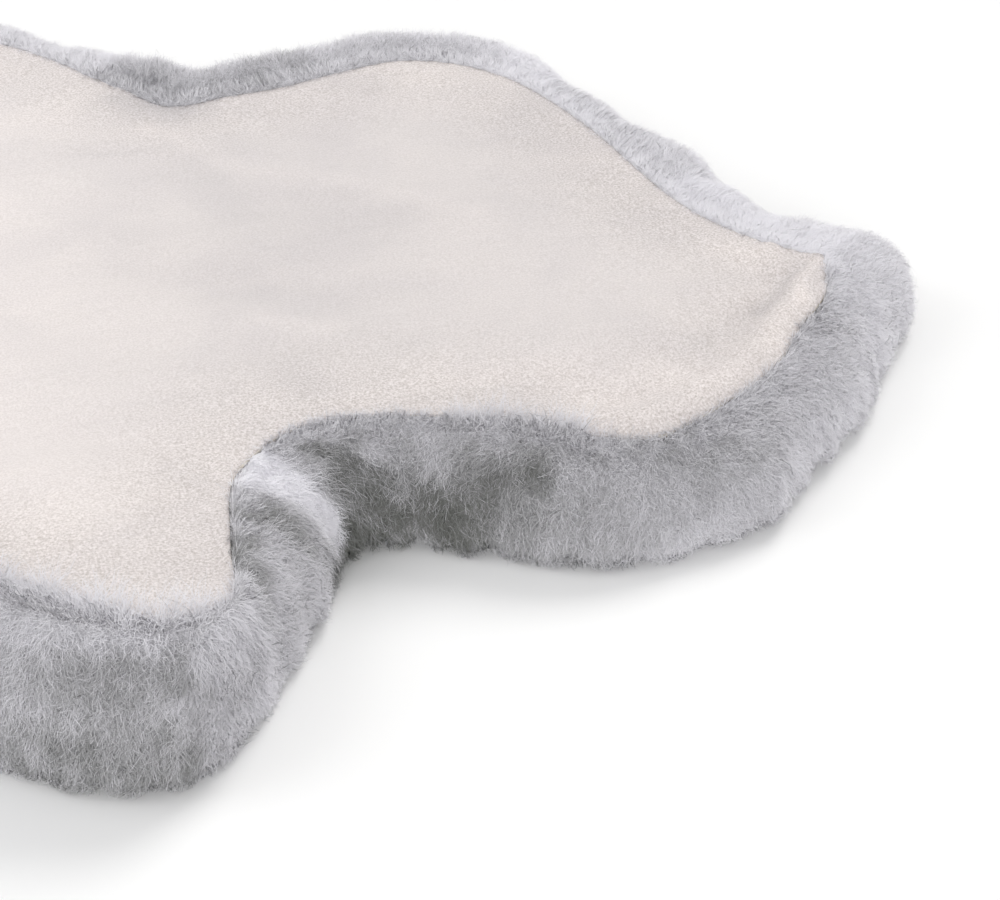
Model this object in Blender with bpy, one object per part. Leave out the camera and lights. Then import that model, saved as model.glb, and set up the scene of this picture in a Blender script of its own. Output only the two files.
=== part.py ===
"""Sheepskin rug lying wool side down.

A cream suede hide, cut to the natural outline of the animal, lies on a thick
slab of grey wool that shows all round its edge. The rump with its short
pointed tail is at +X, the neck at -X. The rug lies flat on the floor at Z 0.
"""

import math

import bmesh
import bpy
import numpy as np
from mathutils import Vector
from mathutils.geometry import delaunay_2d_cdt

MM = 0.001

# The hide
HIDE_THICKNESS = 2.0 * MM
HIDE_GAP = 0.35 * MM
RIM_POINTS = 240
PLATEAU = 50.0 * MM
RIM_BLEND = 55.0 * MM
RIM_MEMORY = 1.0 * MM
ROLL_BLEND = 15.0 * MM
ROLL_RIDGE = 3.8 * MM
ROLL_RIDGE_AT = 12.0 * MM
ROLL_RIDGE_WIDTH = 7.0 * MM
ROLL_CREASE = 5.0 * MM
ROLL_CREASE_AT = 27.0 * MM
ROLL_CREASE_WIDTH = 6.0 * MM

# How finely the hide is divided: rings inside its edge, then an even lattice
INSETS = (7.0 * MM, 15.0 * MM, 27.0 * MM)
GRID = 24.0 * MM
RING_ROOM = 0.93
LATTICE_ROOM = 0.55
CURVE_STEPS = 24

# The wool locks at the rim
LOCK_DEPTH = 2.4 * MM
LOCK_DROP = 1.6 * MM
LOCK_ROOM = 14.0 * MM
LEAST_LOCK = 0.25
LUMP_RISE = 0.7

# One row for each station round the edge, anticlockwise from the tail, in mm
# from the tail's tip: the hide's edge in plan, the wool's outer foot in plan,
# the height of the hide's top at its edge, how far the wool stands above it,
# and how much the edge is rolled down (0 to 1).
STATIONS = (
    ("tail tip", 0, -2, 65, 15, 49, 6, 0.6),
    ("tail far side", -12, 7, 44, 45, 49, 2, 0.2),
    ("far rump 1", -36, 32, 7, 70, 49, 2, 0.0),
    ("far rump 2", -56, 67, -3, 97, 50, 8, 0.0),
    ("far rump 3", -68, 108, -15, 125, 51, 8, 0.0),
    ("far rump 4", -79, 152, -34, 167, 52, 3, 0.0),
    ("far thigh 1", -98, 204, -55, 225, 53, 3, 0.0),
    ("far thigh 2", -117, 239, -78, 270, 53, 7, 0.0),
    ("far thigh 3", -143, 262, -117, 312, 53, 11, 0.0),
    ("far thigh 4", -173, 270, -171, 326, 54, 13, 0.0),
    ("far thigh 5", -211, 264, -220, 316, 53, 12, 0.0),
    ("far saddle", -249, 253, -260, 302, 52, 14, 0.0),
    ("far saddle 2", -284, 250, -285, 303, 51, 14, 0.0),
    ("far notch", -314, 246, -300, 311, 49, 18, 0.0),
    ("far hind leg 1", -334, 257, -309, 316, 50, 17, 0.0),
    ("far hind leg 2", -355, 284, -320, 327, 52, 10, 0.0),
    ("far hind leg 3", -377, 317, -343, 351, 53, 3, 0.0),
    ("far hind leg 4", -411, 350, -387, 389, 54, 2, 0.0),
    ("far hind foot", -446, 366, -442, 414, 55, 3, 0.0),
    ("far hock", -482, 354, -504, 401, 54, 5, 0.0),
    ("far flank", -514, 325, -544, 366, 53, 5, 0.0),
    ("far belly 1", -562, 305, -576, 354, 51, 5, 0.0),
    ("far belly 2", -622, 298, -624, 348, 50, 5, 0.0),
    ("far belly 3", -682, 303, -668, 352, 50, 5, 0.0),
    ("far foreleg 1", -725, 322, -703, 370, 51, 5, 0.0),
    ("far forefoot", -768, 345, -764, 398, 53, 5, 0.0),
    ("far forefoot 2", -806, 333, -833, 378, 53, 5, 0.0),
    ("far shoulder", -829, 295, -872, 323, 52, 5, 0.0),
    ("far neck notch", -846, 254, -889, 282, 50, 5, 0.0),
    ("far neck 1", -872, 222, -909, 256, 50, 5, 0.0),
    ("far neck 2", -905, 190, -942, 224, 51, 5, 0.0),
    ("neck corner", -932, 148, -979, 168, 52, 5, 0.0),
    ("neck end 1", -944, 98, -995, 104, 52, 5, 0.0),
    ("neck end 2", -944, 46, -994, 36, 52, 5, 0.0),
    ("neck end 3", -928, 2, -971, -25, 52, 5, 0.0),
    ("near neck 1", -899, -37, -936, -73, 51, 5, 0.0),
    ("near neck 2", -868, -68, -905, -106, 50, 4, 0.0),
    ("near neck notch", -843, -104, -888, -132, 50, 4, 0.0),
    ("near forefoot 1", -823, -150, -868, -176, 52, 5, 0.0),
    ("near forefoot 2", -797, -190, -824, -236, 54, 6, 0.0),
    ("near forefoot 3", -757, -203, -755, -256, 54, 6, 0.0),
    ("near foreleg", -716, -187, -694, -234, 52, 6, 0.0),
    ("near belly 1", -670, -167, -656, -216, 51, 5, 0.0),
    ("near belly 2", -612, -157, -609, -207, 51, 5, 0.0),
    ("near belly 3", -552, -156, -551, -206, 52, 5, 0.0),
    ("near belly 4", -500, -162, -506, -214, 54, 9, 0.0),
    ("near flank", -460, -172, -472, -217, 57, 14, 0.0),
    ("near hock", -426, -190, -440, -237, 60, 15, 0.0),
    ("near hind foot 1", -404, -209, -416, -253, 62, 14, 0.0),
    ("near hind foot 2", -380, -222, -386, -270, 63, 11, 0.0),
    ("near hind foot 3", -353, -228, -360, -267, 61, 7, 0.0),
    ("near leg corner", -334, -221, -339, -250, 59, 3, 0.0),
    ("near leg side 1", -330, -198, -319, -221, 57, 2, 0.0),
    ("near leg side 2", -328, -169, -298, -191, 55, 2, 0.0),
    ("near leg side 3", -327, -143, -283, -162, 52, 2, 0.0),
    ("near notch", -322, -119, -272, -142, 50, 2, 0.0),
    ("near saddle 1", -306, -100, -264, -134, 50, 3, 0.0),
    ("near saddle 2", -281, -89, -254, -135, 50, 3, 0.0),
    ("near saddle 3", -248, -88, -240, -139, 50, 4, 0.0),
    ("near saddle 4", -205, -99, -211, -153, 50, 5, 0.0),
    ("near thigh 1", -174, -109, -183, -164, 48, 2, 0.3),
    ("near thigh 2", -152, -120, -156, -172, 45, 0, 0.8),
    ("near thigh 3", -130, -124, -122, -174, 43, 0, 1.0),
    ("near rump 1", -100, -109, -77, -159, 43, 0, 1.0),
    ("near rump 2", -61, -83, -37, -118, 44, 0, 1.0),
    ("near rump 3", -38, -60, -3, -88, 45, 0, 1.0),
    ("near rump 4", -18, -37, 19, -60, 46, 0, 1.0),
    ("tail near side", -6, -16, 41, -27, 48, 0, 0.9),
)

# Broad swells of the hide, in mm: centre in plan, radius and height.
SWELLS = (
    ("near hind leg", -385, -180, 75, 11),
    ("far hind leg", -425, 320, 70, 4),
    ("rump", -190, 85, 110, 3),
    ("far thigh dip", -118, 185, 38, -2),
    ("tail hollow", -72, 50, 34, -2),
    ("saddle hollow", -300, 130, 60, -2),
    ("back", -560, 70, 150, -3),
    ("shoulders", -740, 75, 110, 3),
    ("neck", -900, 70, 70, 2),
)

# Soft folds of the hide, in mm: one end, the other end, half-width and height.
FOLDS = (
    ("leg fold", -326, -106, -440, -60, 15, -3.0),
    ("leg shoulder", -352, -132, -440, -104, 22, 2.0),
    ("far ridge 1", -312, 214, -238, 134, 13, 2.0),
    ("far ridge 2", -238, 134, -160, 72, 12, 2.0),
    ("middle valley 1", -363, 72, -304, 40, 16, -2.0),
    ("middle valley 2", -304, 40, -250, 6, 13, -2.0),
    ("middle ridge", -308, 4, -250, -24, 9, 2.0),
    ("near ridge", -345, -32, -298, -84, 10, 1.8),
    ("belly fold 1", -520, 250, -560, 120, 18, 2.4),
    ("belly fold 2", -610, -110, -560, 20, 18, 2.2),
    ("back fold", -660, 60, -780, 20, 20, -2.0),
    ("foreleg fold", -735, 250, -770, 300, 16, 2.2),
)

# The wool's section, from under the hide's edge out and down to the floor: the
# share of the way out, the share of the edge's height, the share of the crest,
# a step in mm, and the share of the locks' and lumps' depth that shows there.
SECTION = (
    ("root", 0.06, 1.00, 0.00, -1.0, 0.0, 0.0),
    ("inner swell", 0.18, 1.00, 0.60, 0.0, 0.0, 0.3),
    ("crest", 0.42, 0.99, 1.00, 0.0, 0.1, 0.8),
    ("shoulder", 0.68, 0.89, 0.75, 0.0, 0.3, 1.0),
    ("upper side", 0.88, 0.66, 0.35, 0.0, 0.6, 1.0),
    ("belly", 0.99, 0.38, 0.10, 0.0, 0.9, 1.0),
    ("lower belly", 1.00, 0.17, 0.00, 0.0, 1.0, 1.0),
    ("floor", 0.94, 0.00, 0.00, 0.0, 1.0, 1.0),
)

# Lumps of the wool round the rim: waves in one turn, depth in mm, phase.
LUMPS = (
    ("broad", 21, 1.6, 0.4),
    ("middle", 37, 1.3, 1.9),
    ("short", 58, 0.9, 3.1),
)


def closed_curve(rows, count):
    """Smooth closed curve through the rows, read at even steps along its first two columns."""
    rows = np.asarray(rows, dtype=float)
    after = np.roll(rows, -1, axis=0)
    span = np.sqrt(np.linalg.norm((after - rows)[:, :2], axis=1))
    span_before = np.roll(span, 1)
    slope_after = (after - rows) / span[:, None]
    slope_before = np.roll(slope_after, 1, axis=0)
    mixed = slope_after * span_before[:, None] + slope_before * span[:, None]
    tangent = mixed / (span + span_before)[:, None]
    fine = []
    t = (np.arange(CURVE_STEPS) / CURVE_STEPS)[:, None]
    for i in range(len(rows)):
        j = (i + 1) % len(rows)
        h = span[i]
        fine.append(
            (2 * t**3 - 3 * t**2 + 1) * rows[i]
            + (t**3 - 2 * t**2 + t) * h * tangent[i]
            + (3 * t**2 - 2 * t**3) * rows[j]
            + (t**3 - t**2) * h * tangent[j]
        )
    fine = np.concatenate(fine)
    closed = np.vstack([fine, fine[:1]])
    along = np.concatenate([[0.0], np.cumsum(np.linalg.norm(np.diff(closed[:, :2], axis=0), axis=1))])
    at = along[-1] * np.arange(count) / count
    return np.stack([np.interp(at, along, closed[:, k]) for k in range(closed.shape[1])], axis=1)


def distance_to_loop(points, loop):
    """Plan distance from each point to the closed loop."""
    a = loop
    b = np.roll(loop, -1, axis=0)
    ab = b - a
    ap = points[:, None, :] - a[None]
    t = np.clip((ap * ab).sum(-1) / (ab * ab).sum(-1), 0, 1)
    return np.linalg.norm(ap - t[..., None] * ab, axis=-1).min(axis=1)


def inside_loop(points, loop):
    """Which points lie within the closed loop."""
    a = loop
    b = np.roll(loop, -1, axis=0)
    x, y = points[:, 0:1], points[:, 1:2]
    crosses = (a[:, 1] > y) != (b[:, 1] > y)
    rise = np.where(b[:, 1] == a[:, 1], 1.0, b[:, 1] - a[:, 1])
    at = a[:, 0] + (y - a[:, 1]) * (b[:, 0] - a[:, 0]) / rise
    return (crosses & (x < at)).sum(axis=1) % 2 == 1


def hide_height(points, edge, rise, roll):
    """Height of the hide's top at each point: swells, folds, and the rim's own level and roll."""
    x, y = points[:, 0], points[:, 1]
    z = np.full(len(points), PLATEAU)
    for _name, cx, cy, radius, height in SWELLS:
        z += height * MM * np.exp(-((x - cx * MM) ** 2 + (y - cy * MM) ** 2) / (radius * MM) ** 2)
    for _name, x1, y1, x2, y2, width, height in FOLDS:
        a = np.array([x1, y1]) * MM
        ab = np.array([x2, y2]) * MM - a
        t = np.clip(((points - a) @ ab) / (ab @ ab), 0, 1)
        away = np.linalg.norm(points - a - t[:, None] * ab, axis=1)
        z += height * MM * np.exp(-((away / (width * MM)) ** 2))
    squared = ((points[:, None, :] - edge[None]) ** 2).sum(-1)
    weight = 1.0 / (squared + RIM_MEMORY**2) ** 1.5
    weight /= weight.sum(axis=1, keepdims=True)
    level = weight @ rise
    rolled = weight @ roll
    away = distance_to_loop(points, edge)
    blend = RIM_BLEND * (1 - rolled) + ROLL_BLEND * rolled
    near = np.exp(-((away / blend) ** 2))
    z = near * level + (1 - near) * z
    ridge = ROLL_RIDGE * np.exp(-(((away - ROLL_RIDGE_AT) / ROLL_RIDGE_WIDTH) ** 2))
    crease = ROLL_CREASE * np.exp(-(((away - ROLL_CREASE_AT) / ROLL_CREASE_WIDTH) ** 2))
    return z + rolled * (ridge - crease)


def plan_sheet(edge):
    """Points and triangles that fill the outline: the edge, some rings inside it, and an even lattice."""
    ahead = np.roll(edge, -1, axis=0) - np.roll(edge, 1, axis=0)
    inward = np.stack([-ahead[:, 1], ahead[:, 0]], axis=1)
    inward /= np.linalg.norm(inward, axis=1, keepdims=True)
    points = [edge]
    for ring, inset in enumerate(INSETS):
        inner = (edge + inward * inset)[ring % 2 :: 1 if ring == 0 else 2]
        keep = inside_loop(inner, edge) & (distance_to_loop(inner, edge) > RING_ROOM * inset)
        points.append(inner[keep])
    low, high = edge.min(axis=0), edge.max(axis=0)
    lattice = []
    for row, py in enumerate(np.arange(low[1], high[1], GRID * math.sqrt(0.75))):
        for px in np.arange(low[0] + (GRID / 2 if row % 2 else 0), high[0], GRID):
            lattice.append((px, py))
    lattice = np.array(lattice)
    keep = inside_loop(lattice, edge) & (distance_to_loop(lattice, edge) > INSETS[-1] + LATTICE_ROOM * GRID)
    points.append(lattice[keep])
    points = np.vstack(points)
    count = len(edge)
    loop = [(i, (i + 1) % count) for i in range(count)]
    found, _edges, faces = delaunay_2d_cdt([Vector(p) for p in points], loop, [], 1, 1e-7)[:3]
    return np.array([tuple(p) for p in found]), faces


def lay_sheet(bm, points, heights, faces):
    """The sheet's top or underside as one open surface in the bmesh."""
    verts = [bm.verts.new((p[0], p[1], z)) for p, z in zip(points, heights)]
    for face in faces:
        bm.faces.new([verts[i] for i in face])
    return verts


def finish(name, bm, material, collection):
    bmesh.ops.recalc_face_normals(bm, faces=bm.faces[:])
    mesh = bpy.data.meshes.new(name)
    bm.to_mesh(mesh)
    bm.free()
    mesh.materials.append(material)
    mesh.shade_smooth()
    obj = bpy.data.objects.new(name, mesh)
    collection.objects.link(obj)
    return obj


def make_material(name, colour, roughness):
    material = bpy.data.materials.new(name)
    material.use_nodes = True
    shader = material.node_tree.nodes["Principled BSDF"]
    shader.inputs["Base Color"].default_value = (*colour, 1.0)
    shader.inputs["Roughness"].default_value = roughness
    shader.inputs["Metallic"].default_value = 0.0
    return material


def wool_rows(rim):
    """The rings of the wool from under the hide's edge to the floor, each with its points in X, Y and Z."""
    edge, foot = rim[:, 0:2], rim[:, 2:4]
    rise, crest = rim[:, 4], rim[:, 5]
    way = foot - edge
    out = way / np.linalg.norm(way, axis=1, keepdims=True)
    turn = 2 * math.pi * np.arange(len(rim)) / len(rim)
    lump = sum(depth * MM * np.sin(waves * turn + phase) for _name, waves, depth, phase in LUMPS)
    room = np.linalg.norm(np.roll(foot, -1, axis=0) - np.roll(foot, 1, axis=0), axis=1) / 2
    lock = np.where(np.arange(len(rim)) % 2 == 0, -0.5, 0.5) * np.clip(room / LOCK_ROOM, LEAST_LOCK, 1)
    rows = []
    for _name, share, up, top, step, lock_share, lump_share in SECTION:
        plan = edge + way * share + out * (lock * LOCK_DEPTH * 2 * lock_share + lump * lump_share)[:, None]
        z = rise * up + crest * top + step * MM
        if up > 0:
            z = z + lump * lump_share * LUMP_RISE - lock * LOCK_DROP * lock_share
        rows.append(np.column_stack([plan, z]))
    return rows


def make_hide(points, heights, faces, material, collection):
    bm = bmesh.new()
    lay_sheet(bm, points, heights - HIDE_THICKNESS, faces)
    made = bmesh.ops.extrude_face_region(bm, geom=bm.faces[:], use_keep_orig=True)
    top = [item for item in made["geom"] if isinstance(item, bmesh.types.BMVert)]
    bmesh.ops.translate(bm, verts=top, vec=(0, 0, HIDE_THICKNESS))
    hide = finish("hide", bm, material, collection)
    hide.data.set_sharp_from_angle(angle=math.radians(50))
    return hide


def make_wool(points, heights, faces, rows, material, collection):
    bm = bmesh.new()
    verts = lay_sheet(bm, points, heights - HIDE_THICKNESS - HIDE_GAP, faces)
    ring = verts[: len(rows[0])]
    for row in rows:
        place = {vert: row[i] for i, vert in enumerate(ring)}
        edges = [edge for edge in bm.edges if edge.is_boundary]
        made = bmesh.ops.extrude_edge_only(bm, edges=edges)
        new = [item for item in made["geom"] if isinstance(item, bmesh.types.BMVert)]
        follows = {}
        for vert in new:
            source = next(e.other_vert(vert) for e in vert.link_edges if e.other_vert(vert) in place)
            vert.co = Vector(place[source])
            follows[source] = vert
        ring = [follows[vert] for vert in ring]
    bm.faces.new(ring)
    return finish("wool_pile", bm, material, collection)


def main():
    for obj in list(bpy.data.objects):
        bpy.data.objects.remove(obj, do_unlink=True)
    collection = bpy.data.collections.new("Sheepskin rug")
    bpy.context.scene.collection.children.link(collection)
    suede = make_material("cream suede", (0.72, 0.65, 0.61), 0.9)
    wool = make_material("grey wool", (0.36, 0.355, 0.37), 1.0)

    rows = np.array([row[1:] for row in STATIONS], dtype=float)
    rows[:, :6] *= MM
    rim = closed_curve(rows, RIM_POINTS)
    rim[:, 5:] = np.clip(rim[:, 5:], 0, None)
    outer = np.vstack(wool_rows(rim))
    middle = (outer[:, :2].min(axis=0) + outer[:, :2].max(axis=0)) / 2

    edge = rim[:, 0:2]
    points, faces = plan_sheet(edge)
    heights = hide_height(points, edge, rim[:, 4], np.clip(rim[:, 6], 0, 1))
    hide = make_hide(points - middle, heights, faces, suede, collection)
    moved = rim.copy()
    moved[:, 0:2] -= middle
    moved[:, 2:4] -= middle
    pile = make_wool(points - middle, heights, faces, wool_rows(moved), wool, collection)
    print("tail tip at", [round(float(-v) / MM, 2) for v in middle])
    for obj in (hide, pile):
        size = [round(v / MM, 1) for v in obj.dimensions]
        print(obj.name, size, "triangles", len(obj.data.polygons))


main()
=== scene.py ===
"""Sheepskin rug: a cream suede hide over thick grey wool, laid wool side down on a pale studio floor."""

import math

import bmesh
import bpy
import numpy as np
from bpy.props import FloatProperty, FloatVectorProperty, IntProperty, PointerProperty
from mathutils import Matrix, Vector
from mathutils.bvhtree import BVHTree
from mathutils.kdtree import KDTree


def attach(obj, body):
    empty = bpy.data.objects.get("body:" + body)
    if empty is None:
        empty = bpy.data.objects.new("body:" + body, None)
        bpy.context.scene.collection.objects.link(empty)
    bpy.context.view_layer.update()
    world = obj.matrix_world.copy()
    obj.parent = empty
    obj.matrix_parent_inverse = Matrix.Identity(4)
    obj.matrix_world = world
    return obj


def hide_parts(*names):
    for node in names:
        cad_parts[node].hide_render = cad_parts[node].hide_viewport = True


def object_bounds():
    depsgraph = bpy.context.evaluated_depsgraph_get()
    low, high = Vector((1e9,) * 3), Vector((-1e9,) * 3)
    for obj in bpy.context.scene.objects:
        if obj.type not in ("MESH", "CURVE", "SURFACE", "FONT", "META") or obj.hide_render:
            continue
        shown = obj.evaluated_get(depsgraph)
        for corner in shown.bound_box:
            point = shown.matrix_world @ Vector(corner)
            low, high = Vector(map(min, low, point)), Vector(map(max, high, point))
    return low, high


bl_info = {
    "name": "Sheepskin Rug",
    "version": (1, 0, 0),
    "blender": (4, 5, 0),
    "location": "3D View > Sidebar > Sheepskin",
    "description": "Suede hide, wool fibres and studio stage of a sheepskin rug",
    "category": "Object",
}

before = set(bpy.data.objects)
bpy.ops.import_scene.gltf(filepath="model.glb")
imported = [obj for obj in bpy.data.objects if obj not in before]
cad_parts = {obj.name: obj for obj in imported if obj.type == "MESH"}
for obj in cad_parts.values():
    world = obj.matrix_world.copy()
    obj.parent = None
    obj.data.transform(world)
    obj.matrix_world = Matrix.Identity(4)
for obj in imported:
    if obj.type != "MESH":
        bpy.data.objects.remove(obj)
CAD_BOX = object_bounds()

MM = 0.001
FLOOR_REACH = 40.0
FLOOR_DROP = 0.4 * MM
FIBRE_MAP = "OFBake"
TONE_LAYER = "wool_tone"
# The hide's layer of painted light and shade.
PAINTED_SHADE_LAYER = "brushed"
COARSE_LAYER = "coarse_nap"
SEED = 7

# How many points are compared with the hide's edge at once.
CHUNK = 20000

# The hide: the angle that counts as its cut edge, how far its edge's move is
# evened out along the edge, how far in the sheet moves with it, and over how
# far its folds are smoothed to find its level.
CUT_ANGLE = math.radians(50)
MOVE_BLUR = 12 * MM
MOVE_REACH = 60 * MM
FOLD_BLUR = 45 * MM

# The wool: where its round foot ends, how far its ground lies under the hide's
# top and beside its edge, how far fibres clear the hide, how far they may stand
# above the plain wool, in how many pieces they are made, how steeply wool that
# has none faces down, and how sparse they are beyond which stretch, in mm from
# the tail's tip.
FOOT = 10 * MM
UNDER_HIDE = 3.4 * MM
BESIDE_HIDE = 14 * MM
CLEAR_OF_HIDE = 0.7 * MM
HIGHEST = 10 * MM
HIGH_BEND = 6 * MM
FIBRE_PIECES = 4
UNDERNEATH = -0.85
SPARSE = 0.50
SPARSE_END = (-540, -430)

# The fibres: the wool's usual tone, how steeply a fibre rises, which shares of
# them stray, are bright, or stand up at the hide's edge, how deep they root,
# and how wide a loose one is against the others.
WOOL_TONE = 0.53
RISE = 0.34
STRAY_SHARE = 0.07
BRIGHT_SHARE = 0.16
STANDING_SHARE = 0.55
ROOT_DEPTH = 0.6 * MM
LOOSE_WIDTH = 0.65

# Camera, from the tail's tip: where it stands, and which way it looks.
CAMERA_TURN = math.radians(13.0)
CAMERA_TILT = math.radians(36.0)
CAMERA_FROM_TAIL = (-0.3673, -0.8459, 0.5819)
CAMERA_LENS = 72.0
CAMERA_SENSOR = 36.0

# The wool's tones by place, in mm from the tail's tip: name, where a stretch starts, its reach there,
# where it ends, its reach there, the tone it takes from 0 for dark to 1 for pale, how fully it takes
# it, and how soft its border is (0 to 2). The dark stretches by the floor, in the saddle, beside the
# near notch, on the leg's front and under the roll are painted shade (saddle, saddle foot, saddle foot
# end, saddle side, saddle dark, thigh foot, leg side, leg flank, leg foot, leg dark, leg left, leg
# shade, rump shade); the pale feet on the right and the pale bands along the hide's edge are painted
# light (tail foot, rump foot, rump rim, leg rim, saddle pale); the far rump is partly paler wool and
# partly painted light.
TONES = (
    ("far rump", (-10, 40, 40), 60, (-110, 262, 45), 62, 0.93, 1.0, 0.5),
    ("far rump side", (-45, 112, 45), 18, (-66, 210, 45), 24, 0.72, 0.7, 0.9),
    ("far thigh", (-150, 300, 45), 50, (-230, 300, 45), 50, 0.74, 0.9, 0.8),
    ("far hind leg", (-322, 316, 45), 28, (-450, 400, 45), 60, 0.88, 0.9, 0.6),
    ("tail side", (-34, -93, 38), 34, (-3, -67, 32), 36, 0.65, 0.9, 0.8),
    ("tail foot", (20, -66, 8), 26, (-60, -138, 8), 25, 0.84, 0.8, 0.8),
    ("tail", (22, -28, 34), 38, (40, 34, 30), 45, 0.84, 0.9, 0.6),
    ("tail top", (0, 6, 46), 13, (16, 27, 44), 15, 1.0, 0.7, 1.0),
    ("near rump", (-162, -160, 20), 20, (-128, -149, 32), 24, 0.48, 0.8, 1.0),
    ("rump foot", (-124, -174, 6), 12, (-98, -172, 10), 18, 0.76, 0.7, 0.9),
    ("thigh foot", (-172, -164, 8), 14, (-150, -170, 10), 11, 0.40, 0.8, 1.0),
    ("rump shade", (-132, -131, 44), 10, (-92, -139, 39), 12, 0.34, 0.75, 0.9),
    ("rump rim", (-176, -124, 45), 8, (-156, -128, 44), 8, 0.70, 0.5, 0.9),
    ("neck", (-985, 60, 30), 60, (-960, 150, 30), 50, 0.72, 0.7, 0.6),
    ("far forefoot", (-790, 370, 30), 45, (-850, 340, 30), 40, 0.70, 0.6, 0.6),
    ("leg", (-352, -252, 56), 32, (-306, -196, 40), 40, 0.57, 0.85, 0.8),
    ("leg rim", (-292, -178, 12), 12, (-334, -254, 12), 12, 0.80, 0.5, 0.8),
    ("leg flank", (-322, -222, 34), 10, (-328, -240, 26), 10, 0.34, 0.6, 0.9),
    ("leg crest", (-440, -200, 72), 20, (-350, -236, 66), 18, 0.74, 0.8, 0.8),
    ("leg foot", (-410, -260, 14), 30, (-374, -264, 18), 24, 0.20, 0.85, 0.9),
    ("leg dark", (-408, -254, 50), 18, (-362, -250, 56), 15, 0.27, 0.8, 0.9),
    ("leg left", (-424, -236, 46), 22, (-374, -252, 34), 16, 0.38, 0.5, 0.9),
    ("leg shade", (-328, -182, 51), 12, (-329, -200, 48), 12, 0.20, 0.85, 0.6),
    ("saddle", (-268, -128, 36), 22, (-192, -148, 30), 28, 0.24, 0.8, 1.7),
    ("saddle foot", (-268, -140, 10), 26, (-230, -150, 14), 21, 0.0, 1.0, 0.9),
    ("saddle foot end", (-214, -154, 12), 14, (-196, -158, 10), 13, 0.26, 0.7, 1.0),
    ("saddle side", (-280, -114, 48), 12, (-248, -134, 30), 16, 0.08, 0.8, 1.0),
    ("saddle dark", (-232, -137, 38), 15, (-200, -140, 38), 17, 0.06, 0.7, 1.5),
    ("saddle pale", (-244, -106, 53), 9, (-186, -108, 52), 7, 0.62, 0.6, 1.0),
    ("leg side", (-319, -158, 54), 8, (-300, -162, 42), 10, 0.22, 0.85, 0.6),
    ("near notch", (-322, -120, 50), 18, (-286, -139, 26), 11, 1.0, 1.0, 0.12),
    ("far saddle", (-254, 283, 42), 28, (-274, 304, 42), 24, 0.30, 0.75, 0.8),
)
# The paler tone that wool takes by the hide's edge: painted light on the fluff that stands there.
EDGE_LIT_TONE = 0.80

# How far the hide's near edge lies out over the wool past the plain sheet's, in
# mm, and where it differs: name, middle in plan from the tail's tip, reach, and
# how far out it lies there.
NEAR_REACH = 9.0
EDGE_MOVES = (
    ("tail tip", 0, 0, 30, 0.0),
    ("leg", -385, -215, 62, 3.0),
    ("leg front", -412, -200, 30, -2.5),
    ("leg end", -360, -224, 16, 10.0),
    ("leg side", -328, -163, 34, 0.5),
    ("leg corner", -326, -200, 26, -2.0),
    ("near notch", -290, -105, 30, 3.0),
    ("roll by the tip", -36, -60, 22, 3.5),
    ("far notch", -337, 262, 24, 8.0),
)

# Stretches of the edge where wool lies over the hide, in mm from the tail's
# tip: name, middle in plan, reach, how much lies over the cut, and how many
# loose fibres stand over it (0 to 1).
COVERS = (
    ("near saddle", -192, -108, 46, 0.6, 1.0),
    ("near saddle left", -268, -98, 36, 0.6, 0.4),
    ("near thigh", -140, -132, 36, 0.3, 0.2),
    ("near leg", -385, -232, 66, 0.7, 1.0),
    ("near flank", -450, -190, 60, 1.0, 1.0),
    ("near belly", -600, -157, 130, 0.8, 0.4),
    ("near forefoot", -790, -190, 90, 0.8, 0.4),
    ("neck", -940, 70, 120, 0.7, 0.3),
    ("far belly", -620, 298, 120, 0.6, 0.3),
)
LEAST_COVER = 0.18
LEAST_LOOSE = 0.10

# Stretches of the edge that stay barer: name, middle in plan and reach, in mm,
# and the share of the wool that stays.
BARE = (
    ("leg side", -328, -163, 60, 0.0),
    ("tail", -12, -30, 40, 0.5),
    ("roll", -58, -80, 44, 0.7),
)

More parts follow.
